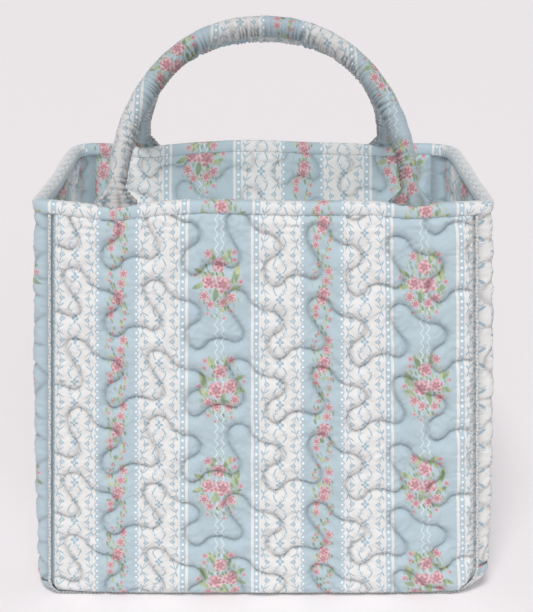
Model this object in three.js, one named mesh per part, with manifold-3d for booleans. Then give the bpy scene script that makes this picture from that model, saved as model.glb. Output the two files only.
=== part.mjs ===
// A quilted cotton knitting bag. Five padded panels are sewn into a box with an open top. Each panel
// is a printed shell, a wadding layer and a lining. A folded binding closes the rim, a corded welt
// runs along the front and back seams, and two padded hoop handles lean together over the opening.
// Units are millimetres and +Z is up. The origin is the middle of the base, on the surface that the
// bag stands on. The front panel faces -Y.
import * as THREE from 'three';
import { mergeVertices } from 'three/addons/utils/BufferGeometryUtils.js';
import Module from 'manifold-3d';

const wasm = await Module();
wasm.setup();

// ---- Driving dimensions ----
const HEIGHT = 338;          // floor to the top of the rim binding
const WIDTH = 346;           // over the side panels, at the rim
const DEPTH = 216;           // over the front and back panels, at the rim
const FLOOR_FLARE_X = 1.075; // the soft box spreads by this much from the rim to the floor
const FLOOR_FLARE_Y = 1.06;
const CORNER_RADIUS = 24;    // of the lower corners, seen from the front
const CLOTH = 0.9;           // one layer of printed cotton
const WADDING = 6;
const GAP = 0.3;             // between pieces that touch
const WELT_RADIUS = 2;       // the corded seam
const WELT_INSET = 2.2;      // its middle, in from the outside of the bag
const WELT_SIDES = 8;
const BINDING_CLOTH = 1.2;   // two layers of cotton
const BINDING_HEIGHT = 11;
const BOARD_THICKNESS = 1.6;

const HANDLE_HALF_SPAN = 112; // bag centre to a handle foot
const HANDLE_RISE = 151;      // from the foot to the middle of the tube at the top
const HANDLE_FULLNESS = 2.15; // exponent of the hoop: 2 is an ellipse, more is squarer
const TUBE_RADIUS = 8.3;
const SLEEVE = 1;
const FOOT_LENGTH = 28;       // the sleeve is empty and flattened over this length
const FOOT_HALF_WIDTH = 15;
const FOOT_HALF_THICKNESS = 2.3;
const FOOT_LIFT = 3;          // the free cloth between the rim and the foot of a handle
const HOOP_TOP = { front: 12, back: 4.3 }; // bag centre to a hoop's top: the back one leans further
const HOOP_STEPS = 34;
const HOOP_SIDES = 10;
const CORNER_STEPS = 5;

const TAB_WIDTH = 29;
const TAB_THICKNESS = 2.4;
const TAB_DEPTH = 24;         // how far a handle end is sewn into the wall
const TAB_TOP = 0.8;          // how far it stands out of the binding

// ---- Worked out from them ----
const halfWidth = WIDTH / 2;
const halfDepth = DEPTH / 2;
const panelTop = HEIGHT - BINDING_CLOTH - GAP;
const waddingStart = CLOTH + GAP;
const waddingEnd = waddingStart + WADDING;
const liningStart = waddingEnd + GAP;
const wallThickness = liningStart + CLOTH;
const weltRoom = 2 * WELT_RADIUS + GAP;
const footY = halfDepth - wallThickness / 2;
const footZ = HEIGHT + FOOT_LIFT;

// ---- Materials ----
function cloth(color, roughness) {
  return new THREE.MeshStandardMaterial({ color, roughness, metalness: 0 });
}
const printedCotton = cloth(0xbdd0dc, 0.9);
const liningCotton = cloth(0xc9d8e2, 0.9);
const wadding = cloth(0xf1efea, 1);
const bindingCotton = cloth(0xb4cad8, 0.88);
const weltCotton = cloth(0xd8e0e4, 0.9);
const cottonCord = cloth(0xe9e2d2, 1);
const boardPlastic = new THREE.MeshStandardMaterial({ color: 0x5f6468, roughness: 0.6, metalness: 0 });

const bag = new THREE.Group();

function add(parent, name, geometry, material) {
  const mesh = new THREE.Mesh(geometry, material);
  mesh.name = name;
  parent.add(mesh);
  return mesh;
}

// ---- Solids ----
// Widens a geometry towards the floor, as the filled bag stands. Level and upright faces stay flat.
function flared(geometry) {
  const place = geometry.getAttribute('position');
  for (let i = 0; i < place.count; i++) {
    const down = 1 - place.getZ(i) / HEIGHT;
    place.setX(i, place.getX(i) * (1 + (FLOOR_FLARE_X - 1) * down));
    place.setY(i, place.getY(i) * (1 + (FLOOR_FLARE_Y - 1) * down));
  }
  geometry.computeVertexNormals();
  return geometry;
}

function toSolid(geometry) {
  const bare = geometry.clone();
  bare.deleteAttribute('normal');
  bare.deleteAttribute('uv');
  const merged = mergeVertices(bare, 1e-4);
  return new wasm.Manifold(new wasm.Mesh({
    numProp: 3,
    vertProperties: new Float32Array(merged.getAttribute('position').array),
    triVerts: new Uint32Array(merged.index.array),
  }));
}

function toGeometry(solid) {
  const mesh = solid.getMesh();
  const geometry = new THREE.BufferGeometry();
  geometry.setAttribute('position', new THREE.BufferAttribute(new Float32Array(mesh.vertProperties), 3));
  geometry.setIndex(new THREE.BufferAttribute(new Uint32Array(mesh.triVerts), 1));
  return geometry;
}

function cut(geometry, tools) {
  return toGeometry(tools.reduce((solid, tool) => solid.subtract(toSolid(tool)), toSolid(geometry)));
}

function block(low, high) {
  const size = high.map((value, axis) => value - low[axis]);
  const middle = high.map((value, axis) => (value + low[axis]) / 2);
  return new THREE.BoxGeometry(...size).translate(...middle);
}

// Extrudes an outline drawn in X and Z from nearY to farY.
function plate(shape, nearY, farY) {
  const geometry = new THREE.ExtrudeGeometry(shape, { depth: farY - nearY, bevelEnabled: false });
  return geometry.rotateX(Math.PI / 2).translate(0, farY, 0);
}

// The front outline without its top edge, inset from the bag's outside: down the left side, round
// both lower corners and up the right side to the height of top.
function underline(inset, top) {
  const radius = CORNER_RADIUS - inset;
  const left = [new THREE.Vector2(inset - halfWidth, top)];
  if (top <= CORNER_RADIUS) left.pop();
  for (let i = 0; i <= CORNER_STEPS; i++) {
    const angle = Math.PI * (1 + i / CORNER_STEPS / 2);
    left.push(new THREE.Vector2(
      CORNER_RADIUS - halfWidth + radius * Math.cos(angle),
      CORNER_RADIUS + radius * Math.sin(angle),
    ));
  }
  const right = left.map((point) => new THREE.Vector2(-point.x, point.y)).reverse();
  return [...left, ...right];
}

// The base panel's section: a flat strip whose ends turn up round the lower corners.
function baseSection(outer, inner) {
  return new THREE.Shape([
    ...underline(outer, CORNER_RADIUS),
    ...underline(inner, CORNER_RADIUS).reverse(),
  ]);
}

// ---- Handle ends sewn into the wall ----
function tabBlock(sideX, sideY, margin) {
  const x = sideX * HANDLE_HALF_SPAN;
  const y = sideY * footY;
  return block(
    [x - TAB_WIDTH / 2 - margin, y - TAB_THICKNESS / 2 - margin, HEIGHT - TAB_DEPTH - margin],
    [x + TAB_WIDTH / 2 + margin, y + TAB_THICKNESS / 2 + margin, HEIGHT + TAB_TOP + margin],
  );
}

// ---- Front and back panels ----
for (const [name, side] of [['front', -1], ['back', 1]]) {
  const layer = (inset, start, end) => {
    const [near, far] = [side * (halfDepth - start), side * (halfDepth - end)].sort((a, b) => a - b);
    return plate(new THREE.Shape(underline(inset, panelTop)), near, far);
  };
  const pockets = [-1, 1].map((sideX) => tabBlock(sideX, side, GAP));
  add(bag, `${name}_shell`, flared(layer(weltRoom, 0, CLOTH)), printedCotton);
  add(bag, `${name}_wadding`, flared(cut(layer(weltRoom, waddingStart, waddingEnd), pockets)), wadding);
  add(bag, `${name}_lining`, flared(layer(liningStart, liningStart, wallThickness)), liningCotton);
}

// ---- Side panels ----
for (const [name, side] of [['left', -1], ['right', 1]]) {
  const layer = (start, end, clearY) => {
    const [near, far] = [side * (halfWidth - start), side * (halfWidth - end)].sort((a, b) => a - b);
    const reach = halfDepth - clearY;
    return flared(block([near, -reach, CORNER_RADIUS + GAP], [far, reach, panelTop]));
  };
  add(bag, `${name}_side_shell`, layer(0, CLOTH, weltRoom), printedCotton);
  add(bag, `${name}_side_wadding`, layer(waddingStart, waddingEnd, liningStart), wadding);
  add(bag, `${name}_side_lining`, layer(liningStart, wallThickness, wallThickness + GAP), liningCotton);
}

// ---- Base panel and the board sewn into it ----
function baseLayer(start, end, clearY) {
  const reach = halfDepth - clearY;
  return plate(baseSection(start, end), -reach, reach);
}
const boardHalfX = halfWidth - CORNER_RADIUS - 2;
const boardHalfY = halfDepth - wallThickness - 3;
const boardTop = waddingStart + BOARD_THICKNESS;
const boardRoom = block(
  [-boardHalfX - GAP, -boardHalfY - GAP, waddingStart - 1],
  [boardHalfX + GAP, boardHalfY + GAP, boardTop + GAP],
);
add(bag, 'base_shell', flared(baseLayer(0, CLOTH, weltRoom)), printedCotton);
add(bag, 'base_wadding', flared(cut(baseLayer(waddingStart, waddingEnd, liningStart), [boardRoom])), wadding);
add(bag, 'base_lining', flared(baseLayer(liningStart, wallThickness, wallThickness + GAP)), liningCotton);
add(bag, 'base_board', flared(block(
  [-boardHalfX, -boardHalfY, waddingStart],
  [boardHalfX, boardHalfY, boardTop],
)), boardPlastic);

// ---- Skins built from rings ----
// Joins rings of points into one closed skin. A looped skin runs from its last ring to its first.
function loft(rings, looped) {
  const size = rings[0].length;
  const faces = [];
  const bands = looped ? rings.length : rings.length - 1;
  for (let i = 0; i < bands; i++) {
    const here = i * size;
    const next = ((i + 1) % rings.length) * size;
    for (let k = 0; k < size; k++) {
      const beside = (k + 1) % size;
      faces.push(here + k, here + beside, next + beside, here + k, next + beside, next + k);
    }
  }
  if (!looped) {
    const end = (rings.length - 1) * size;
    for (let k = 1; k < size - 1; k++) faces.push(0, k + 1, k, end, end + k, end + k + 1);
  }
  const geometry = new THREE.BufferGeometry().setFromPoints(rings.flat());
  geometry.setIndex(faces);
  return geometry;
}

// A ring round a curve that lies in the XZ plane: inPlane is its half-width there, across is along Y.
function ring(centre, tangent, inPlane, across, sides) {
  const outward = new THREE.Vector3(tangent.z, 0, -tangent.x);
  const points = [];
  for (let k = 0; k < sides; k++) {
    const angle = (2 * Math.PI * k) / sides;
    const point = centre.clone().addScaledVector(outward, inPlane * Math.cos(angle));
    point.y += across * Math.sin(angle);
    points.push(point);
  }
  return points;
}

// The direction of a row of points at each of them.
function directions(points) {
  return points.map((point, i) => {
    const before = points[Math.max(i - 1, 0)];
    const after = points[Math.min(i + 1, points.length - 1)];
    return after.clone().sub(before).normalize();
  });
}

// ---- Corded welts along the front and back seams ----
for (const [name, side] of [['front', -1], ['back', 1]]) {
  const y = side * (halfDepth - WELT_RADIUS);
  const route = underline(WELT_INSET, panelTop).map((point) => new THREE.Vector3(point.x, y, point.y));
  const along = directions(route);
  const rings = route.map((point, i) => ring(point, along[i], WELT_RADIUS, WELT_RADIUS, WELT_SIDES));
  add(bag, `${name}_seam_welt`, flared(loft(rings, false)), weltCotton);
}

// ---- Rim binding: a channel over the top edge of all four walls ----
function frameBlock(reach, low, high) {
  return block([-halfWidth - reach, -halfDepth - reach, low], [halfWidth + reach, halfDepth + reach, high]);
}
const bindingReach = BINDING_CLOTH + GAP;
const bindingLow = HEIGHT - BINDING_HEIGHT;
const walls = cut(frameBlock(GAP, bindingLow - 1, panelTop + GAP), [
  frameBlock(-wallThickness - GAP, bindingLow - 2, HEIGHT),
]);
const slits = [-1, 1].flatMap((sideX) => [-1, 1].map((sideY) => tabBlock(sideX, sideY, GAP)));
const channel = cut(frameBlock(bindingReach, bindingLow, HEIGHT), [
  frameBlock(-wallThickness - bindingReach, bindingLow - 1, HEIGHT + 1),
  walls,
  ...slits,
]);
add(bag, 'rim_binding', flared(channel), bindingCotton);

// ---- Handles ----
// The hoop in the XZ plane, from the left foot to the right one.
class Hoop extends THREE.Curve {
  getPoint(t, target = new THREE.Vector3()) {
    const angle = Math.PI * (1 - t);
    const power = 2 / HANDLE_FULLNESS;
    const across = Math.sign(Math.cos(angle)) * Math.abs(Math.cos(angle)) ** power;
    return target.set(HANDLE_HALF_SPAN * across, 0, HANDLE_RISE * Math.sin(angle) ** power);
  }
}

const hoop = new Hoop();
hoop.arcLengthDivisions = 800;
const hoopLength = hoop.getLength();
const hoopPoints = hoop.getSpacedPoints(HOOP_STEPS);
const hoopTangents = directions(hoopPoints);

// How round the sleeve is at a step: 0 at the flattened foot, 1 where the cord fills it.
function roundness(step) {
  const fromFoot = Math.min(step, HOOP_STEPS - step) * (hoopLength / HOOP_STEPS);
  return THREE.MathUtils.smoothstep(fromFoot, 0, FOOT_LENGTH);
}

function hoopRing(step, shrink) {
  const round = roundness(step);
  const wide = THREE.MathUtils.lerp(FOOT_HALF_WIDTH, TUBE_RADIUS, round) - shrink;
  const thick = THREE.MathUtils.lerp(FOOT_HALF_THICKNESS, TUBE_RADIUS, round) - shrink;
  return ring(hoopPoints[step], hoopTangents[step], wide, thick, HOOP_SIDES);
}

const steps = [...Array(HOOP_STEPS + 1).keys()];
const filled = steps.filter((step) => roundness(step) === 1);

for (const [name, side] of [['front', -1], ['back', 1]]) {
  for (const [end, sideX] of [['left', -1], ['right', 1]]) {
    add(bag, `${name}_handle_${end}_tab`, flared(tabBlock(sideX, side, 0)), printedCotton);
  }
  const handle = new THREE.Group();
  handle.position.set(0, side * footY, footZ);
  handle.rotation.x = side * Math.asin((footY - HOOP_TOP[name]) / HANDLE_RISE);
  const outside = steps.map((step) => hoopRing(step, 0));
  const inside = steps.map((step) => hoopRing(step, SLEEVE)).reverse();
  add(handle, `${name}_handle_sleeve`, loft([...outside, ...inside], true), printedCotton);
  const cord = filled.map((step) => hoopRing(step, SLEEVE + GAP));
  add(handle, `${name}_handle_cord`, loft(cord, false), cottonCord);
  bag.add(handle);
}

export default bag;
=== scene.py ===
"""The looks of a quilted knitting bag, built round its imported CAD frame.

Lengths are in metres. MM turns a number of millimetres into metres.
"""
import math
from functools import partial

import bmesh
import bpy
import numpy as np
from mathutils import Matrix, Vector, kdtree


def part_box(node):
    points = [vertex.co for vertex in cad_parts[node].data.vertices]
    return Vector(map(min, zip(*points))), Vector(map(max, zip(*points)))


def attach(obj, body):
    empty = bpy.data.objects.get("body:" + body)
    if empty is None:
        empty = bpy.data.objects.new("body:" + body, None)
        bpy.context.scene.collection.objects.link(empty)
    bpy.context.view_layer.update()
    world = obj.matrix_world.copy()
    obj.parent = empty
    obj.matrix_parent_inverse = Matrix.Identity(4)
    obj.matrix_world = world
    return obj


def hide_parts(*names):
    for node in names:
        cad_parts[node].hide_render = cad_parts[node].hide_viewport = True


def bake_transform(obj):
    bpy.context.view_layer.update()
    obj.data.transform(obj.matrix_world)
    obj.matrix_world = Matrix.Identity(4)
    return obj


MM = 0.001

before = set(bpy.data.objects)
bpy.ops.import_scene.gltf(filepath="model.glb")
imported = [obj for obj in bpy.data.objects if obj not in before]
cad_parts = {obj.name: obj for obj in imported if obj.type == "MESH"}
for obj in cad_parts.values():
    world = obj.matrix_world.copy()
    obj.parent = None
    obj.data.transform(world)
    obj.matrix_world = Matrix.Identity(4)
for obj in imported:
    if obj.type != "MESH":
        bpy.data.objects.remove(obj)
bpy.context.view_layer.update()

# ---- Sizes that come from the frame ----
RIM_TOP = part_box("rim_binding")[1].z
RIM_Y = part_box("rim_binding")[1].y - 1.8 * MM
RIM_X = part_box("rim_binding")[1].x - 1.8 * MM
FLOOR_Y = -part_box("front_seam_welt")[0].y
FLOOR_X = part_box("base_shell")[1].x
CORNER = {-1: 11 * MM, 1: 26 * MM}    # the lower corners' radius at the left and at the right
FOOT_X = (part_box("front_handle_right_tab")[0].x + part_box("front_handle_right_tab")[1].x) / 2
FOOT_Y = (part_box("back_handle_right_tab")[0].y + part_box("back_handle_right_tab")[1].y) / 2

# ---- Sizes of the soft pieces ----
WALL = 8.4 * MM            # from the shell to the lining
PUFF = 4.6 * MM            # a quilted lobe over its stitched groove
LOBE_REACH = 12 * MM       # from a groove to where the cloth is at its highest
HEM_REACH = 9 * MM         # the same from a sewn edge
WRINKLE = 0.32 * MM        # height of the puckers beside the stitches
UNEVEN = 0.35 * MM         # height of the slow waves in the padding
SEAM_IN = 5 * MM           # at the floor, the front and back seams lie this far in from the sides
SEAM_IN_RIM = 9.5 * MM     # and at the rim
FRONT_BOW = 5 * MM         # the padded panels stand out this far between their seams
SIDE_BOW = 13 * MM
SIDE_TURN = 9 * MM         # a side panel bows out over this distance from its seams
BACK_LIFT = 4 * MM         # the back rim stands a little higher
FOOT_DIP = 3.4 * MM        # the rim dips this far under a handle's foot
MIDDLE_RISE = 1.6 * MM     # and rises this far between the two
RIM_UNEVEN = 1.0 * MM      # height of its slow waves
BINDING_HEIGHT = 11 * MM
BINDING_THICK = 11 * MM
BINDING_ENDS = (-68, 248)  # degrees round the wall's top edge, from straight outward
BINDING_SQUARENESS = 2.7   # 2 would be an ellipse
SETTLE_FRAMES = 8          # length of the cloth simulation
PIN_STRENGTH = 1.6         # how firmly cloth near a stitch is held by it
PADDING_PRESSURE = 0.5
LOOSE_CLOTH = 0.03         # the cloth is this much longer than the padding it covers
FINE = 1.2 * MM            # grid of the front panel
MEDIUM = 2.0 * MM          # grid of the others

HANDLE_RISE = 151 * MM
HANDLE_FULLNESS = 2.15
HOOP_TOP = {"front": 12 * MM, "back": 4.3 * MM}
HANDLE_STEP = 0.8 * MM     # between the rings of points along a handle
HANDLE_SIDES = 32
TUBE = 8.3 * MM
NECK = 6.8 * MM            # the tube is thinner just above its feet
CORD_ROOM = 7.25 * MM      # the filler cord needs this radius inside a handle
CORD_FROM = 25 * MM        # and starts this far from a foot
FOOT_LIFT = 3 * MM
FOOT_WIDE = 16 * MM        # half the width of a foot, in the plane of the hoop
FOOT_THICK = 3.6 * MM      # and half its thickness
TUCK_STEPS = 18            # rings of a foot tucked in below the rim
SKIRT = 11 * MM            # a foot's flared skirt reaches this far up
PLEATS = 9                 # round a skirt
HANDLE_PAINTED_SHADE = 0.38         # painted shade: the handles are painted greyer all over than the bag's cloth
WELT = 1.2 * MM            # radius of the corded seam

SIDES = {"front": -1, "back": 1, "left": -1, "right": 1}


# ---- The shape of the four walls ----
def down(z):
    """How far down the wall a height is: 0 at the rim and 1 at the floor."""
    return 1 - z / RIM_TOP


def seam_half_width(z):
    """Half the distance between the left and right seams of the front or back panel."""
    seam_in = SEAM_IN_RIM + (SEAM_IN - SEAM_IN_RIM) * down(z)
    return RIM_X - seam_in + (FLOOR_X - RIM_X) * down(z)


def seam_half_depth(z):
    return RIM_Y - 4 * MM + (FLOOR_Y - RIM_Y) * down(z)


def side_turn(t, z):
    """0 at the seams of a side panel and 1 away from them, leaving the seam straight outward."""
    from_seam = (1 - np.abs(t)) * seam_half_depth(z) / SIDE_TURN
    return np.sqrt(1 - (1 - np.clip(from_seam, 0, 1)) ** 2)


def rim_wave(x, y):
    """The soft rim dips a little under each handle foot and rises between them."""
    near_foot = np.exp(-(((np.abs(x) - FOOT_X) / (24 * MM)) ** 2))
    middle = np.exp(-((x / (60 * MM)) ** 2))
    back = BACK_LIFT * smooth_step((y + 0.04) / 0.12)
    slow = np.sin(x * 43 + y * 23)
    return back - FOOT_DIP * near_foot + MIDDLE_RISE * middle + RIM_UNEVEN * slow


def wall_point(face, t, z, inset):
    """A point on a wall. t runs from -1 to 1 between the wall's two seams, and inset is the depth in
    from the outside of the bag."""
    side = SIDES[face]
    middle = np.sin(np.pi * np.clip(down(z), 0, 1)) ** 0.8
    if face in ("front", "back"):
        x = t * (seam_half_width(z) - inset)
        bow = FRONT_BOW * (1 - np.abs(t) ** 5) + 3 * MM * (1 - t * t) * middle
        y = side * (seam_half_depth(z) + bow - inset)
    else:
        y = t * (seam_half_depth(z) - inset)
        bow = SIDE_BOW * (1.06 - 0.23 * down(z) + 0.22 * middle) * side_turn(t, z)
        x = side * (seam_half_width(z) + bow - inset)
    wave = rim_wave(x, y) * np.clip(1 - 3 * down(z), 0, 1)
    return np.stack([x, y, z + wave], axis=-1)


# ---- Quilting ----
# One period of the stitched line: a finger's top, down to a round loop, and back up
# the next finger. In mm.
MEANDER = [
    (0, 0), (7, -3), (12, -11), (20, -16), (28, -17.5), (34, -24), (33, -31.5), (25, -37), (22, -43),
    (22.5, -51), (28, -56.5), (35, -54), (39, -49), (46, -47), (52, -48), (59, -50), (64.5, -46),
    (64, -38), (57, -26), (54, -18), (55.5, -10.5),
]
MEANDER_PERIOD = 61.5
ROW_PITCH = 58
ROW_DROP = 7.5
STITCH_STEP = 1.0


def smooth_line(points, step):
    """A Catmull-Rom curve through points, sampled about every step."""
    points = np.array(points, float)
    out = []
    for i in range(1, len(points) - 2):
        a, b, c, d = points[i - 1 : i + 3]
        count = max(2, int(np.linalg.norm(c - b) / step))
        t = (np.arange(count) / count)[:, None]
        out.append(
            0.5 * (2 * b + (c - a) * t + (2 * a - 5 * b + 4 * c - d) * t**2
                   + (3 * b - a - 3 * c + d) * t**3)
        )
    return np.concatenate(out)


def stitch_lines(low, high, start):
    """The quilting lines over a flat piece of cloth from corner low to corner high, in metres."""
    width = (high[0] - low[0]) / MM
    periods = range(-2, int(width / MEANDER_PERIOD) + 3)
    lines = []
    rows = int((high[1] - low[1]) / MM / ROW_PITCH) + 4
    for row in range(-2, rows):
        points = []
        for k in periods:
            for px, py in MEANDER:
                x = start[0] + px + k * MEANDER_PERIOD
                y = start[1] + py - k * ROW_DROP - row * ROW_PITCH
                wander = 1.5 * math.sin(0.021 * x + 1.7 * row) + 1.2 * math.sin(0.037 * y + 0.9 * k)
                points.append((x + 1.8 * math.sin(0.05 * y + row), y + wander))
        line = smooth_line(points, STITCH_STEP) * MM
        line += (low[0], high[1])
        lines.append(line)
    return lines


def smooth_step(x):
    x = np.clip(x, 0, 1)
    return x * x * (3 - 2 * x)


def nearest_stitch(flat, lines):
    """The distance from each flat point to the nearest quilting line, and where along it that is."""
    points = np.concatenate(lines)
    starts = 37 * np.arange(len(lines))
    along = np.concatenate([np.arange(len(line)) * STITCH_STEP + at for line, at in zip(lines, starts)])
    tree = kdtree.KDTree(len(points))
    for i, (x, y) in enumerate(points):
        tree.insert((x, y, 0), i)
    tree.balance()
    found = [tree.find((x, y, 0)) for x, y in flat]
    gap = np.array([f[2] for f in found])
    return gap, along[np.array([f[1] for f in found])]


def rise_and_fall(distance, peak):
    """0 at no distance, 1 at the peak, and falling off beyond it."""
    return distance / peak * np.exp(1 - distance / peak)


def relief(flat, lines, edge, ruffle):
    """The height of the padded cloth over its grooves at each flat point, and how sewn down it is,
    from 0 to 1. edge is the distance to the nearest sewn edge, and ruffle the height of the gathers
    beside it."""
    gap, place = nearest_stitch(flat, lines)
    lobe = 1 - (1 - np.clip(gap / LOBE_REACH, 0, 1)) ** 4
    hem = 1 - (1 - np.clip(edge / HEM_REACH, 0, 1)) ** 2.2
    soft = np.minimum(lobe, hem) * 0.75 + lobe * hem * 0.25
    pucker = np.sin(place * 1.05 + 2.2 * np.sin(place * 0.23)) * (0.6 + 0.4 * np.sin(place * 0.11))
    wrinkle = WRINKLE * pucker * rise_and_fall(gap, 2.2 * MM) * hem
    wave = np.sin(flat[:, 0] * 95 + 1.3 * np.sin(flat[:, 1] * 60))
    unevenness = UNEVEN * wave * lobe * hem
    beat = flat[:, 1] / MM
    gathers = np.sin(beat * 1.2 + 1.8 * np.sin(beat * 0.17)) * (0.6 + 0.4 * np.sin(beat * 0.4 + 1))
    beside = rise_and_fall(edge, 4 * MM)
    height = PUFF * soft + wrinkle + unevenness + ruffle * gathers * beside
    # How sewn down the cloth is also sets its painted shade in the quilting grooves and along the sewn
    # edges.
    on_stitch = np.exp(-gap / (0.9 * MM))
    on_edge = 0.8 * np.exp(-edge / (0.7 * MM))
    return height, np.maximum(on_stitch, on_edge)


# ---- Mesh making ----
def grid_mesh(name, points, cloth, flip=False):
    """A mesh from rows of points, with the flat cloth coordinates in an attribute."""
    rows, columns = points.shape[:2]
    index = np.arange(rows * columns).reshape(rows, columns)
    faces = np.stack([index[:-1, :-1], index[:-1, 1:], index[1:, 1:], index[1:, :-1]], axis=-1)
    faces = faces.reshape(-1, 4)
    if flip:
        faces = faces[:, ::-1]
    mesh = bpy.data.meshes.new(name)
    mesh.from_pydata(points.reshape(-1, 3).tolist(), [], faces.tolist())
    flat = np.concatenate([cloth.reshape(-1, 2), np.zeros((rows * columns, 1))], axis=1)
    attribute = mesh.attributes.new("cloth", "FLOAT_VECTOR", "POINT")
    attribute.data.foreach_set("vector", flat.astype(np.float32).ravel())
    mesh.shade_smooth()
    piece = bpy.data.objects.new(name, mesh)
    bpy.context.scene.collection.objects.link(piece)
    return piece


def set_groove_shade(piece, sewn):
    """Stores how much painted shade each point gets: how strongly it is pulled in by stitches or folds,
    and any further painted shade.
    """
    groove = piece.data.attributes.new("groove", "FLOAT", "POINT")
    groove.data.foreach_set("value", sewn.astype(np.float32).ravel())


def grid_normals(points):
    across = np.gradient(points, axis=1)
    up = np.gradient(points, axis=0)
    normal = np.cross(across, up)
    return normal / (np.linalg.norm(normal, axis=-1, keepdims=True) + 1e-12)


# ---- Cloth coordinates ----
# The print is laid out in its own flat plane, with across = 0 in the middle of a wide stripe.
PRINT_TALL = 1.1           # the cloth is printed this much longer than its repeat is drawn


def print_coords(across, up, middle, base=0.017, scale=1.0):
    """Where the print falls on cloth whose wide stripe has its middle at a place across."""
    across, up = np.broadcast_arrays(across, up)
    return np.stack([(across - middle) / scale, (up - base) / (PRINT_TALL * scale)], axis=-1)


FRONT_PRINT = -33 * MM
STRIPE_SPREAD = 0.109       # the stripes lie this much wider apart at the floor than at the rim
LINING_PRINT = -57 * MM
SIDE_LINING_PRINT = -13 * MM
LINING_SCALE = 1.2
MID_BAND = 45.5 * MM        # from the middle of a wide stripe to the middle of a white band
HANDLE_PRINT_SCALE = 1.085
HANDLE_PRINT = {"front": -68 * MM, "back": -37 * MM}
SIDE_PRINT = {"left": -RIM_Y + 29 * MM, "right": -RIM_Y - 42 * MM}


def panel_grid(face, inset, step):
    """Rows of points over a wall, and the same points' flat cloth places and distance to the edge."""
    wide = face in ("front", "back")
    low = 2.2 * MM if wide else CORNER[SIDES[face]] - 1.5 * MM
    high = RIM_TOP - BINDING_HEIGHT + 2.5 * MM
    heights = np.linspace(low, high, int((high - low) / step))
    span = FLOOR_X if wide else FLOOR_Y
    shares = np.linspace(-1, 1, int((2 if wide else 2.6) * span / step))
    if not wide:
        shares = np.sin(shares * math.pi / 2)
    t, z = np.meshgrid(shares, heights)
    if wide:
        radius = np.where(t < 0, CORNER[-1], CORNER[1])
        below = np.clip(radius - z, 0, radius)
        corner_in = radius - np.sqrt(np.maximum(radius**2 - below**2, 0))
        half = seam_half_width(z) - inset
        t = t * (half - corner_in) / half
    points = wall_point(face, t, z, inset)
    across = points[..., 0 if wide else 1]
    limit = across.max(axis=1, keepdims=True)
    spread = 1 + STRIPE_SPREAD * down(z) if wide else seam_half_depth(z) / seam_half_depth(RIM_TOP)
    flat = np.stack([across / spread, z], axis=-1)
    sideways = np.where(across < 0, across - across.min(axis=1, keepdims=True), limit - np.abs(across))
    edge = np.minimum(sideways, np.minimum(z - low, high - z))
    return points, flat, edge


def settle(piece):
    """Lets the padding push slightly loose cloth out between its stitches, by a cloth simulation."""
    mesh = piece.data
    count = len(mesh.vertices)
    sewn = np.zeros(count, np.float32)
    mesh.attributes["groove"].data.foreach_get("value", sewn)
    level = np.clip(np.round(sewn * PIN_STRENGTH * 10), 0, 10)
    pins = piece.vertex_groups.new(name="pins")
    for step in range(1, 11):
        pins.add(np.nonzero(level == step)[0].tolist(), step / 10, "REPLACE")
    modifier = piece.modifiers.new("cloth", "CLOTH")
    modifier.collision_settings.use_collision = False
    modifier.point_cache.frame_start = 1
    modifier.point_cache.frame_end = SETTLE_FRAMES
    cloth = modifier.settings
    cloth.quality = 4
    cloth.mass = 0.3
    cloth.air_damping = 2
    cloth.vertex_group_mass = pins.name
    cloth.tension_stiffness = 15
    cloth.compression_stiffness = 15
    cloth.shear_stiffness = 5
    cloth.bending_stiffness = 0.05
    cloth.tension_damping = 10
    cloth.compression_damping = 10
    cloth.use_pressure = True
    cloth.uniform_pressure_force = PADDING_PRESSURE
    cloth.shrink_min = -LOOSE_CLOTH
    cloth.effector_weights.gravity = 0
    scene = bpy.context.scene
    for number in range(1, SETTLE_FRAMES + 1):
        scene.frame_set(number)
    settled = piece.evaluated_get(bpy.context.evaluated_depsgraph_get())
    places = np.zeros(count * 3, np.float32)
    settled.data.vertices.foreach_get("co", places)
    piece.modifiers.remove(modifier)
    piece.vertex_groups.remove(pins)
    mesh.vertices.foreach_set("co", places)
    mesh.update()
    scene.frame_set(1)


def puffed(name, points, flat, edge, sign, start, cloth, depth=1.0, ruffle=0.25 * MM):
    """Raises padded lobes on a grid along its normals and makes the mesh."""
    low, high = flat.reshape(-1, 2).min(0), flat.reshape(-1, 2).max(0)
    lines = stitch_lines(low, high, start)
    height, sewn = relief(flat.reshape(-1, 2), lines, edge.ravel(), ruffle)
    normal = grid_normals(points) * sign
    raised = points + normal * (height * depth).reshape(points.shape[:2])[..., None]
    piece = grid_mesh(name, raised, cloth, flip=sign < 0)
    set_groove_shade(piece, sewn)
    settle(piece)
    return piece


OUTWARD = {"front": 1, "back": -1, "left": -1, "right": 1}
START = {"front": (18, 14), "back": (22, -20), "left": (6, -12), "right": (40, -30)}
SHELL_INSET = 3 * MM
LINING_INSET = WALL - 1 * MM
# How high the lobes of the flatter pieces stand, against those of the front and back.
SIDE_DEPTH = 0.45
LINING_DEPTH = 0.8
BASE_DEPTH = 0.28
BASE_LINING_DEPTH = 0.7
BASE_INSET = 1.15 * MM
WADDING_OUTER = 3.9 * MM
WADDING_INNER = 6.1 * MM
WADDING_STEP = 7 * MM


def panel_name(face):
    return face if face in ("front", "back") else face + "_side"


def wall_shell(face):
    points, flat, edge = panel_grid(face, SHELL_INSET, FINE if face == "front" else MEDIUM)
    middle = FRONT_PRINT if face in ("front", "back") else SIDE_PRINT[face]
    cloth = print_coords(flat[..., 0], flat[..., 1], middle)
    name = panel_name(face)
    wide = face in ("front", "back")
    ruffle = (0.3 if wide else 0.9) * MM
    piece = puffed(name + "_quilted_shell", points, flat, edge, OUTWARD[face], START[face], cloth,
                   1.0 if wide else SIDE_DEPTH, ruffle)
    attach(piece, "bag")
    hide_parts(name + "_shell")
    return piece


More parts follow.
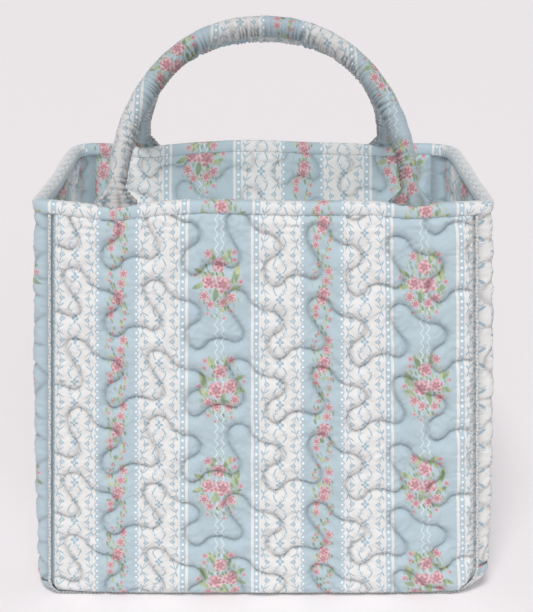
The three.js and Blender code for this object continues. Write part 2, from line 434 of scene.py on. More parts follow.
def wall_lining(face):
    points, flat, edge = panel_grid(face, LINING_INSET, MEDIUM)
    wide = face in ("front", "back")
    cloth = print_coords(flat[..., 0], flat[..., 1], LINING_PRINT if wide else SIDE_LINING_PRINT,
                         scale=LINING_SCALE)
    name = panel_name(face)
    piece = puffed(name + "_quilted_lining", points, flat, edge, -OUTWARD[face], START[face], cloth,
                   LINING_DEPTH)
    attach(piece, "bag")
    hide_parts(name + "_lining")
    return piece


# ---- Base ----
def base_grid(inset, step):
    """The base panel runs flat along the floor and turns up round the two lower corners."""
    half = seam_half_width(0)
    ends = {side: half - CORNER[side] + CORNER[side] * math.pi / 2 for side in (-1, 1)}
    ways = np.linspace(-ends[-1], ends[1], int((ends[-1] + ends[1]) / step))
    shares = np.sin(np.linspace(-1, 1, int(2.6 * FLOOR_Y / step)) * math.pi / 2)
    s, t = np.meshgrid(ways, shares)
    radius = np.where(s < 0, CORNER[-1], CORNER[1])
    flat_half = half - radius
    angle = np.clip((np.abs(s) - flat_half) / radius, 0, math.pi / 2)
    upward = angle / (math.pi / 2)
    turned = radius - inset - max(SHELL_INSET - inset, 0) * upward
    side_bow = SIDE_BOW * 0.83 * side_turn(t, 0) * np.sin(angle)
    x = np.where(np.abs(s) < flat_half, s, np.sign(s) * (flat_half + turned * np.sin(angle) + side_bow))
    z = radius - turned * np.cos(angle)
    if inset < SHELL_INSET:
        reach = seam_half_depth(z) - inset * 0.5
    else:
        bow = FRONT_BOW * (1 - np.clip(np.abs(s) / half, 0, 1) ** 5)
        reach = seam_half_depth(z) + bow - inset
    y = t * reach
    points = np.stack([x, y, z], axis=-1)
    flat = np.stack([s, y], axis=-1)
    from_ends = np.minimum(ends[1] - s, s + ends[-1])
    from_sides = np.abs(y).max(axis=0, keepdims=True) - np.abs(y)
    edge = np.minimum(from_ends, from_sides)
    return points, flat, edge


def lay_flat(piece):
    """Flattens the cloth where it rests on the floor."""
    for vertex in piece.data.vertices:
        vertex.co.z = max(vertex.co.z, 0)


def base_shell():
    points, flat, edge = base_grid(BASE_INSET, MEDIUM)
    cloth = print_coords(flat[..., 0], flat[..., 1], FRONT_PRINT)
    piece = puffed("base_quilted_shell", points, flat, edge, -1, (20, 0), cloth, BASE_DEPTH)
    lay_flat(piece)
    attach(piece, "bag")
    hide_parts("base_shell")
    return piece


def base_lining():
    points, flat, edge = base_grid(LINING_INSET, MEDIUM)
    cloth = print_coords(flat[..., 0], flat[..., 1], LINING_PRINT, scale=LINING_SCALE)
    piece = puffed("base_quilted_lining", points, flat, edge, 1, (20, 0), cloth,
                   BASE_LINING_DEPTH)
    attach(piece, "bag")
    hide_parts("base_lining")
    return piece


# ---- Wadding ----
def slab(name, outer, inner, cloth):
    """A closed slab between two grids of the same size."""
    rows, columns = outer.shape[:2]
    piece = grid_mesh(name, np.concatenate([outer, inner[::-1]]), np.concatenate([cloth, cloth[::-1]]))
    index = np.arange(2 * rows * columns).reshape(2 * rows, columns)
    mirror = index[::-1]
    ends = []
    for r in range(rows - 1):
        ends.append((index[r + 1, 0], index[r, 0], mirror[r, 0], mirror[r + 1, 0]))
    for r in range(rows - 1):
        ends.append((index[r, -1], index[r + 1, -1], mirror[r + 1, -1], mirror[r, -1]))
    for c in range(columns - 1):
        ends.append((index[0, c + 1], index[0, c], index[-1, c], index[-1, c + 1]))
    mesh = piece.data
    closed = bmesh.new()
    closed.from_mesh(mesh)
    closed.verts.ensure_lookup_table()
    for face in ends:
        closed.faces.new([closed.verts[int(i)] for i in face])
    bmesh.ops.recalc_face_normals(closed, faces=closed.faces)
    closed.to_mesh(mesh)
    closed.free()
    mesh.shade_smooth()
    return piece


def wadding(name, grid):
    """The padding of one panel. grid(inset, step) gives the panel's rows of points."""
    outer, flat, _ = grid(WADDING_OUTER, WADDING_STEP)
    inner = grid(WADDING_INNER, WADDING_STEP)[0]
    piece = slab(name + "_wadding_layer", outer, inner, flat)
    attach(piece, "bag")
    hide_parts(name + "_wadding")
    return piece


# ---- Rim binding ----
def closed_smooth(points, sigma):
    """Rounds the corners of a closed line by a Gaussian average along it."""
    count = len(points)
    offsets = np.arange(-3 * sigma, 3 * sigma + 1)
    weights = np.exp(-0.5 * (offsets / sigma) ** 2)
    weights /= weights.sum()
    index = (np.arange(count)[:, None] + offsets[None, :]) % count
    return (points[index] * weights[None, :, None]).sum(axis=1)


def even_spaced(points, step):
    lengths = np.concatenate([[0], np.cumsum(np.linalg.norm(np.diff(points, axis=0), axis=1))])
    places = np.linspace(0, lengths[-1], int(lengths[-1] / step))
    return np.stack([np.interp(places, lengths, points[:, i]) for i in range(3)], axis=-1), places


def rim_line():
    """A closed line round the middle of the wall's top edge."""
    z = RIM_TOP - BINDING_HEIGHT / 2
    parts = []
    for face, way in (("front", 1), ("right", 1), ("back", -1), ("left", -1)):
        t = np.linspace(-1, 1, 220)[::way]
        parts.append(wall_point(face, t, np.full_like(t, z), WALL / 2)[:-1])
    line = np.concatenate(parts)
    line, _ = even_spaced(np.concatenate([line, line[:1]]), 1.5 * MM)
    line = line[:-1]
    back = smooth_step(line[:, 1:2] / RIM_Y)
    return closed_smooth(line, 2) * (1 - back) + closed_smooth(line, 9) * back


def binding():
    line = rim_line()
    line = np.concatenate([line, line[:1]])
    count = len(line)
    tangent = np.roll(line[:-1], -1, axis=0) - np.roll(line[:-1], 1, axis=0)
    tangent = np.concatenate([tangent, tangent[:1]])
    outward = np.stack([tangent[:, 1], -tangent[:, 0], np.zeros(count)], axis=-1)
    outward /= np.linalg.norm(outward, axis=1, keepdims=True)
    along = np.arange(count) * 1.5
    angles = np.radians(np.linspace(*BINDING_ENDS, 30))
    power = 2 / BINDING_SQUARENESS
    side = np.sign(np.cos(angles)) * np.abs(np.cos(angles)) ** power
    rise = np.sign(np.sin(angles)) * np.abs(np.sin(angles)) ** power
    ripple = np.sin(along * 1.15 + 1.5 * np.sin(along * 0.21)) * (0.6 + 0.4 * np.sin(along * 0.13))
    low = np.clip(-np.sin(angles) + 0.6, 0, 1)
    swell = 1 + 0.05 * ripple[:, None] * low[None, :] + 0.035 * np.sin(along * 0.09)[:, None]
    reach = (BINDING_THICK / 2) * side[None, :] * swell
    height = (BINDING_HEIGHT / 2) * rise[None, :] * (1 + 0.02 * ripple[:, None])
    points = line[:, None, :] + outward[:, None, :] * reach[..., None]
    points[..., 2] += height
    around = (BINDING_THICK / 2) * angles
    rise_of_cloth = around[None, :] + 0.03
    on_front = print_coords(line[:, :1], rise_of_cloth, FRONT_PRINT + 1 * MM)
    on_back = print_coords(line[:, :1], rise_of_cloth, LINING_PRINT, scale=LINING_SCALE)
    crossways = np.where(line[:, 1, None, None] > 0, on_back, on_front)
    lengthways = print_coords(around[None, :] + MID_BAND, line[:, 1:2], 0)
    cloth = np.where(np.abs(outward[:, 1])[:, None, None] > 0.6, crossways, lengthways)
    piece = grid_mesh("rim_binding_band", points, cloth)
    hem = np.minimum(angles - angles[0], angles[-1] - angles) * BINDING_THICK / 2
    # Painted shade along the binding's two stitched edges, darker at each stitch.
    stitch_shade = 0.7 + 0.3 * np.sin(along * 2.1)
    sewn = np.exp(-hem[None, :] / (0.8 * MM)) * stitch_shade[:, None]
    set_groove_shade(piece, sewn)
    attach(piece, "bag")
    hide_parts("rim_binding")
    return piece


# ---- Tubes ----
def tube_mesh(name, line, radius, sides):
    """A tube along a line whose radius is a function of distance along it and angle round it. It
    returns the piece, and the distances and angles of its points."""
    line, along = even_spaced(line, 1.0 * MM)
    tangent = np.gradient(line, axis=0)
    tangent /= np.linalg.norm(tangent, axis=1, keepdims=True)
    normal = np.zeros_like(tangent)
    normal[0] = np.cross(tangent[0], (0, 1, 0))
    for i in range(1, len(line)):
        carried = normal[i - 1] - tangent[i] * np.dot(normal[i - 1], tangent[i])
        normal[i] = carried / np.linalg.norm(carried)
    other = np.cross(tangent, normal)
    angle = np.linspace(0, 2 * math.pi, sides + 1)
    size = radius(along[:, None], angle[None, :])
    ring = normal[:, None, :] * np.cos(angle)[None, :, None]
    ring = ring + other[:, None, :] * np.sin(angle)[None, :, None]
    points = line[:, None, :] + ring * size[..., None]
    cloth = print_coords(angle[None, :] * 2 * MM + MID_BAND, along[:, None], 0)
    return grid_mesh(name, points, cloth, flip=True), along, angle


def welt(face):
    """The corded seam down one edge of the front or back panel, round its corners and up again."""
    side = SIDES[face]
    halves = []
    for end in (-1, 1):
        radius = CORNER[end]
        heights = np.linspace(RIM_TOP - BINDING_HEIGHT + 1 * MM, radius, 60)
        straight = wall_point(face, np.full_like(heights, float(end)), heights, WELT / 2)
        turn = np.linspace(0, math.pi / 2, 14)[1:]
        bend = radius - WELT
        x = end * (seam_half_width(0) - radius + bend * np.cos(turn))
        z = radius - bend * np.sin(turn)
        y = side * (seam_half_depth(z) - WELT / 2)
        halves.append(np.concatenate([straight, np.stack([x, y, z], axis=-1)]))
    line = np.concatenate([halves[0], halves[1][::-1]])

    def hatched(along, angle):
        thread = np.sin(angle + along / MM * 2.1) ** 3
        return WELT * (1 + 0.13 * thread + 0.06 * np.sin(along / MM * 0.7))

    piece, along, angle = tube_mesh(face + "_welt_cord", line, hatched, 12)
    # Painted shade on the cord: a little all along it, much more along its bottom run and lower
    # corners, and in the twists of its thread.
    upright = smooth_step(np.minimum(along, along[-1] - along) / RIM_TOP * 12 - 11)[:, None]
    thread = np.sin(angle[None, :] + along[:, None] / MM * 2.1)
    sewn = 0.35 + 0.85 * upright + 0.35 * thread
    set_groove_shade(piece, np.clip(sewn, 0, 1.4))
    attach(piece, "bag")
    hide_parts(face + "_seam_welt")
    return piece


# ---- Handles ----
def hoop_line(step):
    """The hoop's middle line in its own plane, as x and height, evenly spaced."""
    angle = np.linspace(math.pi, 0, 2001)
    power = 2 / HANDLE_FULLNESS
    x = FOOT_X * np.sign(np.cos(angle)) * np.abs(np.cos(angle)) ** power
    height = HANDLE_RISE * np.abs(np.sin(angle)) ** power
    line, along = even_spaced(np.stack([x, 0 * x, height], axis=-1), step)
    return line[:, 0], line[:, 2], along


def handle_line():
    """The tube's middle line in its own plane, as columns: x, height, distance along the hoop and
    distance to the nearer foot. Its ends are tucked in below the rim."""
    x, height, along = hoop_line(HANDLE_STEP)
    tucked = np.arange(TUCK_STEPS, 0, -1) * HANDLE_STEP
    x = np.concatenate([np.full(TUCK_STEPS, -FOOT_X), x, np.full(TUCK_STEPS, FOOT_X)])
    height = np.concatenate([-tucked, height, -tucked[::-1]])
    whole = along[-1]
    along = np.concatenate([-tucked, along, whole + tucked[::-1]])
    to_foot = np.minimum(along, whole - along)
    return x[:, None], height[:, None], along[:, None], to_foot[:, None]


def gathers_round(beat, angle):
    """The gathers across the tube, from -1 to 1. beat is the distance along it in mm."""
    skew = 0.5 * np.sin(beat * 0.07) * angle
    drift = 3.1 * np.sin(beat * 0.19) + 1.3 * np.sin(beat * 0.53 + angle)
    ripple = np.sin(beat * 1.5 + drift + skew)
    return ripple * (0.65 + 0.35 * np.sin(beat * 0.13 + 1))


def handle_section(beat, angle, to_foot, round_share, ripple):
    """How far the tube's surface lies from its middle line, in the hoop's plane and across it."""
    inner = np.clip(-np.sin(angle), 0, 1)
    filled = NECK + (TUBE - NECK) * smooth_step((to_foot - 10 * MM) / (60 * MM))
    skirt = np.clip(1 - (to_foot + 2 * MM) / SKIRT, 0, 1.3) ** 1.4
    wide = filled + (FOOT_WIDE - NECK) * np.minimum(skirt, 1.05)
    thick = FOOT_THICK * (1 - round_share) + filled * round_share
    bump = 1 + ripple * (0.02 + 0.11 * inner) * np.sqrt(round_share)
    bump = bump + 0.02 * np.sin(beat * 0.31 + 1.7 * np.sin(beat * 0.05))
    ridge = 1.1 * MM * np.exp(-(((angle + math.pi / 2 + 0.35) / 0.16) ** 2)) * round_share
    core = np.where(to_foot > CORD_FROM, CORD_ROOM, 0)
    in_plane = np.sin(angle) * (np.maximum(wide * bump, core) + ridge)
    across = -np.cos(angle) * np.maximum(thick * bump, core)
    pleat = 0.9 * MM * np.sin(angle * PLEATS) * (1 - round_share)
    return in_plane, across + pleat * np.sign(-np.cos(angle))


def handle_painted_shade(height, angle, round_share, ripple):
    """The tube's painted shade: in its gathers, along the seam inside the hoop and in the pleats of its
    feet, and a painted grey over it all, darker on its inner side and lower legs.
    """
    inner = np.clip(-np.sin(angle), 0, 1)
    folds = np.clip(-ripple, 0, 1) * (0.3 + 0.7 * inner)
    seam = np.exp(-(((angle + math.pi / 2 + 0.62) / 0.09) ** 2)) * round_share
    pleats = np.clip(-np.sin(angle * PLEATS), 0, 1) * (1 - round_share) * 0.6
    low_leg = 1 - smooth_step(height / (80 * MM))
    # Painted shade over the whole tube, more on its lower legs and inner side.
    painted_tube_shade = HANDLE_PAINTED_SHADE + 0.25 * low_leg + 0.35 * inner
    return np.minimum(painted_tube_shade + folds * 0.9 + seam + pleats, 1.6)


def leaned_in(name, x, height, across):
    """Stands the flat hoop on the rim and leans it in over the bag's opening."""
    side = SIDES[name]
    tilt = math.asin((FOOT_Y - HOOP_TOP[name]) / HANDLE_RISE)
    lean = tilt * smooth_step((height + 4 * MM) / (14 * MM))
    y = side * (FOOT_Y - height * np.sin(lean)) + across * np.cos(lean)
    z = RIM_TOP + FOOT_LIFT + height * np.cos(lean) + side * across * np.sin(lean)
    return np.stack([x, y, z], axis=-1)


def handle(name):
    x, height, along, to_foot = handle_line()
    dx, dz = np.gradient(x, axis=0), np.gradient(height, axis=0)
    scale = np.hypot(dx, dz)
    out_x, out_z = -dz / scale, dx / scale
    angle = np.linspace(-math.pi, math.pi, HANDLE_SIDES + 1)[None, :]
    beat = along / MM
    round_share = smooth_step((to_foot + 2 * MM) / SKIRT)
    ripple = gathers_round(beat, angle)
    in_plane, across = handle_section(beat, angle, to_foot, round_share, ripple)
    points = leaned_in(name, x + out_x * in_plane, height + out_z * in_plane, across)
    wrap = TUBE * angle
    cloth = print_coords(x + out_x * wrap, height + out_z * wrap, HANDLE_PRINT[name],
                         scale=HANDLE_PRINT_SCALE)
    piece = grid_mesh(name + "_handle_tube", points, cloth, flip=True)
    set_groove_shade(piece, handle_painted_shade(height, angle, round_share, ripple))
    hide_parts(name + "_handle_sleeve", name + "_handle_left_tab", name + "_handle_right_tab")
    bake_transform(piece)
    return piece


# ---- Material building ----
class Wire:
    """A number running through a material's nodes. Arithmetic on it adds Math nodes."""

    def __init__(self, tree, socket):
        self.tree = tree
        self.socket = socket

    def math(self, operation, *others, clamp=False):
        node = self.tree.nodes.new("ShaderNodeMath")
        node.operation = operation
        node.use_clamp = clamp
        for slot, value in enumerate((self, *others)):
            if isinstance(value, Wire):
                self.tree.links.new(value.socket, node.inputs[slot])
            else:
                node.inputs[slot].default_value = value
        return Wire(self.tree, node.outputs[0])

    def __add__(self, other):
        return self.math("ADD", other)

    def __sub__(self, other):
        return self.math("SUBTRACT", other)

    def __mul__(self, other):
        return self.math("MULTIPLY", other)

    def __truediv__(self, other):
        return self.math("DIVIDE", other)

    def __abs__(self):
        return self.math("ABSOLUTE")

    def times_plus(self, factor, offset, clamp=False):
        return self.math("MULTIPLY_ADD", factor, offset, clamp=clamp)

    def flipped(self):
        return self.times_plus(-1.0, 1.0)

    def wrap(self, half):
        """Folds into the range from -half to half, repeating."""
        return self.math("WRAP", half, -half)

    def bounce(self, size):
        return self.math("PINGPONG", size)

    def below(self, limit, soft=0.4):
        """1 where this is under limit and 0 over it, with a soft edge."""
        if isinstance(limit, Wire):
            return (limit - self).times_plus(1 / soft, 0.5, clamp=True)
        return self.times_plus(-1 / soft, limit / soft + 0.5, clamp=True)

    def either(self, other):
        return self.math("MAXIMUM", other)


def length(x, y):
    return (x * x).math("ADD", y * y).math("SQRT")


def blend_numbers(share, low, high):
    """low where share is 0 and high where it is 1."""
    return (high - low).times_plus(share, low)


def blend_colors(tree, share, low, high):
    node = tree.nodes.new("ShaderNodeMix")
    node.data_type = "RGBA"
    tree.links.new(share.socket, node.inputs["Factor"])
    for slot, value in (("A", low), ("B", high)):
        socket = [s for s in node.inputs if s.name == slot and s.type == "RGBA"][0]
        if isinstance(value, tuple):
            socket.default_value = (*value, 1.0)
        else:
            tree.links.new(value, socket)
    return [s for s in node.outputs if s.type == "RGBA"][0]


def noise(tree, vector, scale, detail=2.0):
    node = tree.nodes.new("ShaderNodeTexNoise")
    node.inputs["Scale"].default_value = scale
    node.inputs["Detail"].default_value = detail
    tree.links.new(vector, node.inputs["Vector"])
    return Wire(tree, node.outputs["Fac"])


def color_ramp(tree, share, stops):
    node = tree.nodes.new("ShaderNodeValToRGB")
    tree.links.new(share.socket, node.inputs["Fac"])
    for index, (place, color) in enumerate(stops):
        if index < 2:
            stop = node.color_ramp.elements[index]
            stop.position = place
        else:
            stop = node.color_ramp.elements.new(place)
        stop.color = (*color, 1.0)
    return node.outputs["Color"]


def srgb(red, green, blue):
    """A colour given as 0 to 255 screen values, as the linear numbers that Blender uses."""
    return tuple(((c / 255 + 0.055) / 1.055) ** 2.4 if c > 10 else c / 3294 for c in (red, green, blue))


# ---- The print: blue and white stripes with roses ----
WHITE = srgb(224, 223, 221)
FIELD_BLUE = srgb(179, 196, 204)
MOTIF_BLUE = srgb(160, 183, 195)
RIBBON = srgb(233, 239, 243)
ROSE_STOPS = ((0.0, srgb(160, 100, 110)), (0.42, srgb(197, 150, 157)), (0.9, srgb(229, 206, 209)))
LEAF_STOPS = ((0.0, srgb(130, 150, 122)), (0.55, srgb(160, 176, 144)), (1.0, srgb(190, 196, 156)))

REPEAT = 155               # stripe repeat, in mm
WIDE_HALF = 23.7           # half the wide blue stripe
LINE_END = 25.8            # outer side of the white line beside it
DOTS_END = 29.8            # outer side of the dotted stripe
BAND_END = 61.2            # outer side of the white band
DOT_PITCH = 5
VINE_PITCH = 15.9
BOUQUET_PITCH = 78
GARLAND_PITCH = 51

# The roses of a bouquet: across, up and radius in mm from its middle.
BOUQUET = [
    (-0.5, 13, 5.4), (-8, 1, 5.4), (2.5, -1, 6.4), (-8.5, 21, 3.2), (11, 21.5, 2.1), (11.5, 16, 1.9),
    (-11.5, -9, 3.7), (-7, -15, 3.3), (2.5, -14.5, 3.5), (8.5, -11, 3.7), (-18.5, 5, 1.5),
    (16, 1, 2.0), (-9, -22, 1.4), (8.5, -21, 1.6), (3.5, -25.5, 1.4),
]
# Its larger leaves: across, up, half-length and turn in degrees.
BOUQUET_LEAVES = [
    (-5, 19, 5.5, 100), (6, 19.5, 6, 60), (12.5, 6, 7, 70), (-15, 8, 5, 150), (-3, -8, 6, 80),
    (12, -4, 5, 20), (-16, -2, 5, 200),
]
# One repeat of the garland in the narrow stripe: roses at its knot, and buds along its two strands.
GARLAND = [
    (1.3, 1.5, 4.7), (0.2, -3, 4.2), (3.2, 10.5, 3.2), (4.7, 17.5, 3.2), (-4.6, -9, 2.7),
    (-4.9, -14.5, 2.7), (6.1, -11.5, 1.5), (5.8, -17.5, 1.5), (3.9, -23.5, 1.5), (-3.3, 22.5, 1.5),
    (-5.3, 17, 1.4), (-6, 12.5, 1.4),
]
GARLAND_START = 21.4
GARLAND_SWING = 6          # how far its strands swing from the middle
STRAND_TURN = 12           # how far below its knot they are widest apart


def rose(across, up, place):
    """One open rose: how much it covers, and the light and dark of its petals."""
    x = (across - place[0]) * (1 / place[2])
    y = (up - place[1]) * (1 / place[2])
    distance = length(x, y)
    turn = y.math("ARCTAN2", x)
    lobes = turn.times_plus(5.0, place[0]).math("COSINE")
    cover = distance.below(lobes.times_plus(0.11, 0.95), soft=0.16)
    rings = (distance * 10.0 + lobes * 1.2).math("COSINE")
    folds = (turn.times_plus(6.0, place[1]) + distance * 5.0).math("SINE")
    shade = (rings * 0.17 + folds * 0.13) + distance.times_plus(0.3, 0.3)
    return cover, shade


def leaf(across, up, place):
    angle = math.radians(place[3])
    x = across - place[0]
    y = up - place[1]
    lengthways = (x * (math.cos(angle) / place[2])) + (y * (math.sin(angle) / place[2]))
    sideways = (x * (-math.sin(angle) / place[2])) + (y * (math.cos(angle) / place[2]))
    room = (lengthways * lengthways).times_plus(-0.36, 0.36)
    return abs(sideways).below(room, soft=0.12)


def leaflets(tree, across, up, region, pitch):
    """Small leaves scattered over a region."""
    point = tree.nodes.new("ShaderNodeCombineXYZ")
    tree.links.new((across * (1.25 / pitch) + up * (0.35 / pitch)).socket, point.inputs["X"])
    tree.links.new((up * (0.62 / pitch)).socket, point.inputs["Y"])
    cells = tree.nodes.new("ShaderNodeTexVoronoi")
    cells.voronoi_dimensions = "2D"
    cells.inputs["Scale"].default_value = 1.0
    tree.links.new(point.outputs[0], cells.inputs["Vector"])
    split = tree.nodes.new("ShaderNodeSeparateColor")
    tree.links.new(cells.outputs["Color"], split.inputs[0])
    chance = Wire(tree, split.outputs[0])
    tint = Wire(tree, split.outputs[1])
    cover = Wire(tree, cells.outputs["Distance"]).below(0.36, soft=0.14)
    return cover * chance.math("GREATER_THAN", 0.14) * region, tint


def flowers(tree, color, across, up, places):
    """Roses at the given places, drawn over a colour."""
    cover = shade = None
    for place in places:
        one, tone = rose(across, up, place)
        if cover is None:
            cover, shade = one, tone
        else:
            shade = blend_numbers(one, shade, tone)
            cover = cover.either(one)
    petals = color_ramp(tree, shade, ROSE_STOPS)
    return blend_colors(tree, cover, color, petals)


def vines(edge, up):
    """The blue sprigs of a white band: a zigzag vine at both sides and flowers down the middle."""
    across = edge - (DOTS_END + BAND_END) / 2
    beside = abs(across)
    fold = up.bounce(VINE_PITCH / 2)
    vine_at = fold.times_plus(0.42, 9.6)
    vine = abs(beside - vine_at).below(0.3)
    leaf_up = fold.wrap(2.6)
    leaf_out = abs(beside - vine_at) - 1.6
    vine_leaf = length(leaf_out + leaf_up * 0.8, leaf_up * 0.4).below(0.66, soft=0.4)
    flower_up = up.wrap(VINE_PITCH / 2)
    radius = length(across, flower_up)
    square = abs(across * across - flower_up * flower_up)
    petal_end = (square / (radius * radius + 0.05)).times_plus(2.2, 0.9)
    flower = radius.below(petal_end) - radius.below(0.6)
    turn = (up + VINE_PITCH / 2).wrap(VINE_PITCH).math("SIGN")
    sprig_up = (up + VINE_PITCH / 2).wrap(VINE_PITCH / 2)
    bend = (sprig_up * sprig_up) * 0.09
    on_sprig = abs(sprig_up).below(5.4)
    blade = abs(across * turn + 4.8 - bend).below(0.55) * on_sprig
    from_stem = across * turn - 3.6 + bend
    needle_up = (sprig_up - abs(from_stem) * 0.9).wrap(1.3)
    needles = abs(needle_up).below(0.36, soft=0.3) * abs(from_stem).below(2.1) * on_sprig
    stem = abs(from_stem).below(0.3) * on_sprig
    return vine.either(vine_leaf).either(flower).either(stem).either(needles * 0.8).either(blade)


def ribbon(across, up):
    """A double white zigzag down the middle of the wide stripe."""
    swing = up.bounce(3.4).times_plus(0.75, -1.3)
    return abs(abs(across) - 2.3 - swing * across.math("SIGN")).below(0.32) * 0.75


def rose_print(tree):
    """The whole print, as a colour, from the cloth attribute."""
    place = tree.nodes.new("ShaderNodeAttribute")
    place.attribute_name = "cloth"
    split = tree.nodes.new("ShaderNodeSeparateXYZ")
    tree.links.new(place.outputs["Vector"], split.inputs[0])
    u = Wire(tree, split.outputs["X"]) * 1000.0
    v = Wire(tree, split.outputs["Y"]) * 1000.0
    across = u.wrap(REPEAT / 2)
    edge = abs(across)

    scallop = abs((v * (math.pi / DOT_PITCH)).math("SINE")).times_plus(-1.5, BAND_END + 1.0)
    wide = edge.below(WIDE_HALF)
    dotted = edge.below(DOTS_END) - edge.below(LINE_END)
    narrow = edge.below(scallop).flipped()
    color = blend_colors(tree, wide.either(narrow).either(dotted), WHITE, FIELD_BLUE)

    in_band = edge.below(BAND_END - 0.5) * edge.below(DOTS_END + 0.5).flipped()
    color = blend_colors(tree, vines(edge, v) * in_band, color, MOTIF_BLUE)

    step = v.wrap(DOT_PITCH / 2)
    stripe_dot = length(edge - (LINE_END + DOTS_END) / 2, step).below(0.95)
    scallop_step = (v + DOT_PITCH / 2).wrap(DOT_PITCH / 2)
    scallop_dot = length(edge - (BAND_END + 1.6), scallop_step).below(0.85)
    color = blend_colors(tree, stripe_dot.either(scallop_dot).either(ribbon(across, v) * wide),
                         color, RIBBON)

    way = (v - BOUQUET_PITCH / 2).wrap(BOUQUET_PITCH).math("SIGN")
    bouquet_across = across * way
    bouquet_up = v.wrap(BOUQUET_PITCH / 2)
    region = length(bouquet_across * (1 / 16), bouquet_up * (1 / 25)).below(1.0, soft=0.35)
    garland_across = (u + REPEAT / 2).wrap(REPEAT / 2)
    garland_up = (v - GARLAND_START).wrap(GARLAND_PITCH / 2)
    swing = ((garland_up + STRAND_TURN) * (2 * math.pi / GARLAND_PITCH)).math("COSINE")
    strand = abs(abs(garland_across) - abs(swing) * GARLAND_SWING).below(2.8, soft=1.0)
    knot = length(garland_across * (1 / 8), garland_up * (1 / 12)).below(1.0, soft=0.3)
    small, tint = leaflets(tree, u, v, region.either(strand.either(knot) * narrow), 3.1)
    leaves = small
    for one in BOUQUET_LEAVES:
        leaves = leaves.either(leaf(bouquet_across, bouquet_up, one))
    color = blend_colors(tree, leaves, color, color_ramp(tree, tint, LEAF_STOPS))
    color = flowers(tree, color, bouquet_across, bouquet_up, BOUQUET)
    color = flowers(tree, color, garland_across, garland_up, GARLAND)
    return color, place.outputs["Vector"]


GROOVE_SHADE = 0.45        # painted shade: how much darker the cloth is painted where the quilting stitches pull it in, and wherever else the groove attribute is high


def cotton(name, color_of, roughness=0.86, sheen=0.25, bump=0.25):
    """A woven cotton. color_of(tree) gives its colour and its cloth coordinates."""
    material = bpy.data.materials.new(name)
    material.use_nodes = True
    tree = material.node_tree
    shader = tree.nodes["Principled BSDF"]
    color, cloth = color_of(tree)
    sewn = tree.nodes.new("ShaderNodeAttribute")
    sewn.attribute_name = "groove"
    # A random mottle of the cloth, darkened by painted shade where the groove attribute is high.
    wear_and_painted_shade = noise(tree, cloth, 60.0, 3.0).times_plus(0.10, 0.95)
    wear_and_painted_shade = wear_and_painted_shade * Wire(tree, sewn.outputs["Fac"]).times_plus(-GROOVE_SHADE, 1.0)
    tone = tree.nodes.new("ShaderNodeVectorMath")
    tone.operation = "SCALE"
    tree.links.new(color, tone.inputs[0])
    tree.links.new(wear_and_painted_shade.socket, tone.inputs["Scale"])
    tree.links.new(tone.outputs[0], shader.inputs["Base Color"])
    shader.inputs["Roughness"].default_value = roughness
    shader.inputs["Sheen Weight"].default_value = sheen
    shader.inputs["Sheen Roughness"].default_value = 0.5
    shader.inputs["Specular IOR Level"].default_value = 0.25
    split = tree.nodes.new("ShaderNodeSeparateXYZ")
    tree.links.new(cloth, split.inputs[0])
    warp = (Wire(tree, split.outputs["X"]) * (2 * math.pi / 0.0007)).math("SINE")
    weft = (Wire(tree, split.outputs["Y"]) * (2 * math.pi / 0.0007)).math("SINE")
    crumple = noise(tree, cloth, 260.0, 3.0)
    height = (warp * weft).times_plus(0.00004, crumple * 0.0009)
    node = tree.nodes.new("ShaderNodeBump")
    node.inputs["Strength"].default_value = bump
    node.inputs["Distance"].default_value = 1.0
    tree.links.new(height.socket, node.inputs["Height"])
    tree.links.new(node.outputs["Normal"], shader.inputs["Normal"])
    return material


def plain(color):
    def color_of(tree):
        place = tree.nodes.new("ShaderNodeAttribute")
        place.attribute_name = "cloth"
        fleck = noise(tree, place.outputs["Vector"], 900.0, 2.0)
        dark = tuple(c * 0.86 for c in color)
        return color_ramp(tree, fleck, ((0.3, dark), (0.7, color))), place.outputs["Vector"]
    return color_of


# ---- Camera, light and floor ----
CAMERA_LENS = 67.9
CAMERA_SHIFT = -0.1
CAMERA_ASIDE = 2.5 * MM
CAMERA_AWAY = 0.85         # in front of the rim
CAMERA_UP = 0.2157         # over the rim
CAMERA_TILT = 16.34        # degrees below level
INSIDE_LIGHT_AT = (0, -0.05, 0.13)
INSIDE_LIGHT_TURN = 125    # degrees from straight down, toward the back wall


def make_camera():
    data = bpy.data.cameras.new("camera")
    data.lens = CAMERA_LENS
    data.shift_y = CAMERA_SHIFT
    camera = bpy.data.objects.new("camera", data)
    bpy.context.scene.collection.objects.link(camera)
    camera.location = (CAMERA_ASIDE, -RIM_Y - CAMERA_AWAY, RIM_TOP + CAMERA_UP)
    camera.rotation_euler = (math.radians(90 - CAMERA_TILT), 0, 0)
    bpy.context.scene.camera = camera


def soft_sun(name, energy, spread, turn):
    """A sun whose disc spreads over an angle, turned about X and Y from straight down. In degrees."""
    sun = bpy.data.lights.new(name, "SUN")
    sun.energy = energy
    sun.angle = math.radians(spread)
    lamp = bpy.data.objects.new(name, sun)
    lamp.rotation_euler = (math.radians(turn[0]), math.radians(turn[1]), 0)
    bpy.context.scene.collection.objects.link(lamp)


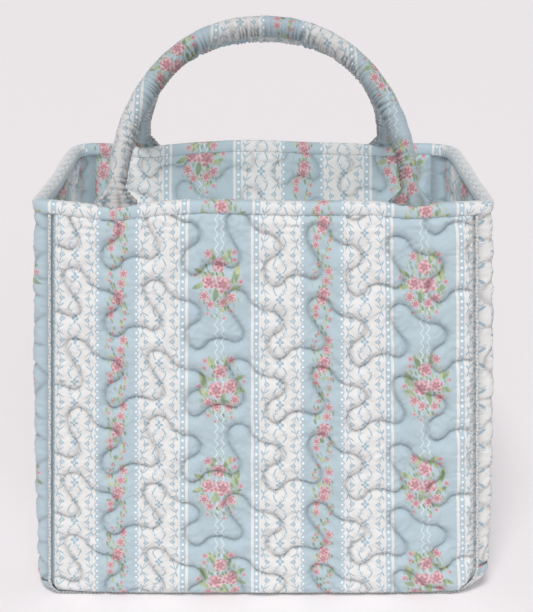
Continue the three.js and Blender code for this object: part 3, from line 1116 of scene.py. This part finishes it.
def inside_light():
    """A weak light inside the bag, which shows its back lining."""
    fill = bpy.data.lights.new("inside_fill", "AREA")
    fill.energy = 0.3
    fill.shape = "RECTANGLE"
    fill.size = 0.26
    fill.size_y = 0.1
    lamp = bpy.data.objects.new("inside_fill", fill)
    lamp.location = INSIDE_LIGHT_AT
    lamp.rotation_euler = (math.radians(INSIDE_LIGHT_TURN), 0, 0)
    lamp.visible_camera = False
    bpy.context.scene.collection.objects.link(lamp)


def make_studio():
    bpy.ops.mesh.primitive_plane_add(size=60)
    floor = bpy.context.object
    floor.name = "floor"
    material = bpy.data.materials.new("floor")
    material.use_nodes = True
    shader = material.node_tree.nodes["Principled BSDF"]
    shader.inputs["Base Color"].default_value = (*srgb(247, 242, 243), 1)
    shader.inputs["Roughness"].default_value = 0.95
    shader.inputs["Specular IOR Level"].default_value = 0.1
    floor.data.materials.append(material)
    world = bpy.data.worlds.new("studio")
    bpy.context.scene.world = world
    world.use_nodes = True
    background = world.node_tree.nodes["Background"]
    background.inputs["Color"].default_value = (*srgb(240, 240, 244), 1)
    background.inputs["Strength"].default_value = 0.34
    soft_sun("overhead", 1.65, 20, (29, -7))
    soft_sun("frontal", 0.95, 40, (60, 8))
    inside_light()
    bpy.context.scene.view_settings.view_transform = "Standard"


def paint(piece, material):
    piece.data.materials.clear()
    piece.data.materials.append(material)


make_camera()
make_studio()

printed = cotton("printed_cotton", rose_print)
wadding_fill = cotton("wadding_fill", plain(srgb(240, 238, 233)), roughness=1.0, bump=0.8)
board_fill = cotton("board_fibre", plain(srgb(96, 100, 104)), roughness=0.6, sheen=0.0)
cord_fill = cotton("cord_fill", plain(srgb(233, 226, 210)), roughness=0.95)

for face in SIDES:
    paint(wall_shell(face), printed)
    paint(wall_lining(face), printed)
    paint(wadding(panel_name(face), partial(panel_grid, face)), wadding_fill)
paint(base_shell(), printed)
paint(base_lining(), printed)
paint(wadding("base", base_grid), wadding_fill)
paint(binding(), printed)
for face in ("front", "back"):
    paint(welt(face), printed)
    paint(handle(face), printed)
paint(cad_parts["base_board"], board_fill)
for name in ("front_handle_cord", "back_handle_cord"):
    paint(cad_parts[name], cord_fill)
